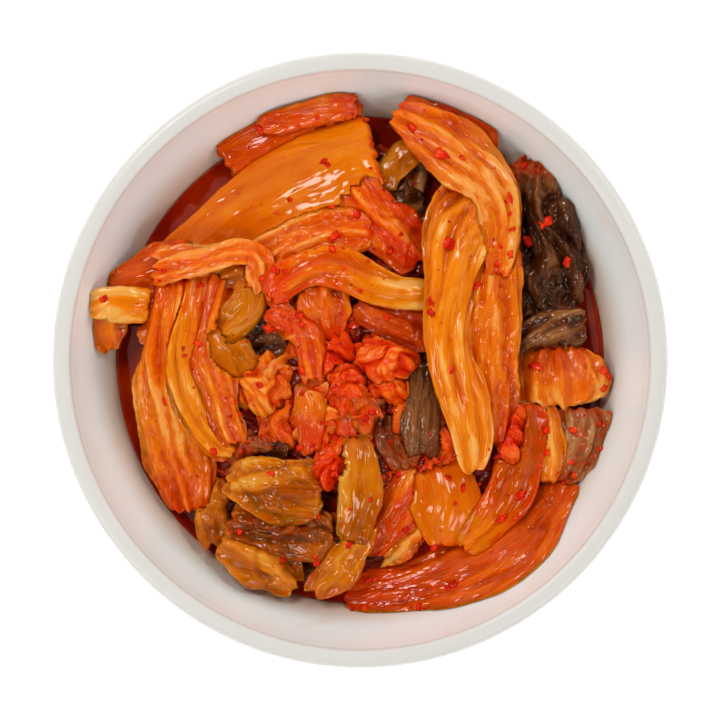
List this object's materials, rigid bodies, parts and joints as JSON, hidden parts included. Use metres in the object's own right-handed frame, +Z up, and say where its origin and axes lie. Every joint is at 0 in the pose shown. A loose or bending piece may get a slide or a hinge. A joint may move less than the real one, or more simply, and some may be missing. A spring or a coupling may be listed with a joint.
{
  "type": "kimchi in a bowl",
  "caption": "Cabbage kimchi heaped in its brine in a small round white bowl with a foot ring, to rest on a table as a side dish.",
  "frame": {"origin": "centre of the foot ring, on the surface that the bowl stands on", "axes": "+Z up; +X to the right and +Y away from a person who looks down on the bowl with the long folded leaf on the right"},
  "size_m": [0.1198, 0.1198, 0.058],
  "materials": {
    "porcelain": "white glazed porcelain",
    "brine": "dark red chilli brine, a glossy liquid",
    "heart": "packed kimchi in the shade, wet and dark red brown",
    "stem": "thick pale orange cabbage stem, wet and slightly clear",
    "leaf": "orange cabbage leaf with ribs, wet",
    "red_leaf": "cabbage leaf covered with red chilli paste, wet",
    "green_leaf": "yellow green cabbage leaf, wet",
    "dark_leaf": "dark brown outer leaf, wrinkled and wet"
  },
  "bodies": {
    "root": {"long_hood": "leaf", "long_front": "stem", "long_back": "leaf", "hood_layer": "leaf", "arch_stem": "stem", "hanging_strand": "leaf", "arch_skirt": "leaf", "rolled_edge": "red_leaf", "edge_spike": "red_leaf", "green_curl": "green_leaf", "green_sliver": "green_leaf", "fan_inner": "leaf", "fan_middle": "stem", "fan_outer": "leaf", "torn_spike": "leaf", "stem_end": "stem", "stem_end_flap": "stem", "buried_stem": "leaf", "ruffled_leaf": "leaf", "dripping_shred": "leaf", "crumple_right": "red_leaf", "crumple_front": "red_leaf", "crumple_left": "leaf", "crumple_low": "leaf", "crumple_top": "red_leaf", "red_lump": "red_leaf", "red_lump_low": "red_leaf", "red_cluster": "red_leaf", "right_paste": "red_leaf", "striped_leaf": "red_leaf", "red_fold": "red_leaf", "broad_stem": "stem", "top_ribbon": "leaf", "back_stem": "leaf", "green_stem": "green_leaf", "green_lobe": "green_leaf", "green_heel": "green_leaf", "green_heart": "green_leaf", "green_foot": "green_leaf", "green_side": "green_leaf", "right_tail": "stem", "right_head": "leaf", "right_rib": "stem", "right_leaf": "dark_leaf", "dark_fold": "dark_leaf", "dark_blade": "dark_leaf", "cut_chunk": "stem", "cut_sliver": "leaf", "dark_stem": "dark_leaf", "thin_strand": "leaf", "brown_leaf": "dark_leaf", "purple_leaf": "dark_leaf", "olive_leaf": "dark_leaf", "onion_slice": "green_leaf", "onion_leaf": "dark_leaf", "floating_leaf": "leaf", "packed_heart": "heart", "brine": "brine", "bowl": "porcelain"}
  },
  "joints": []
}
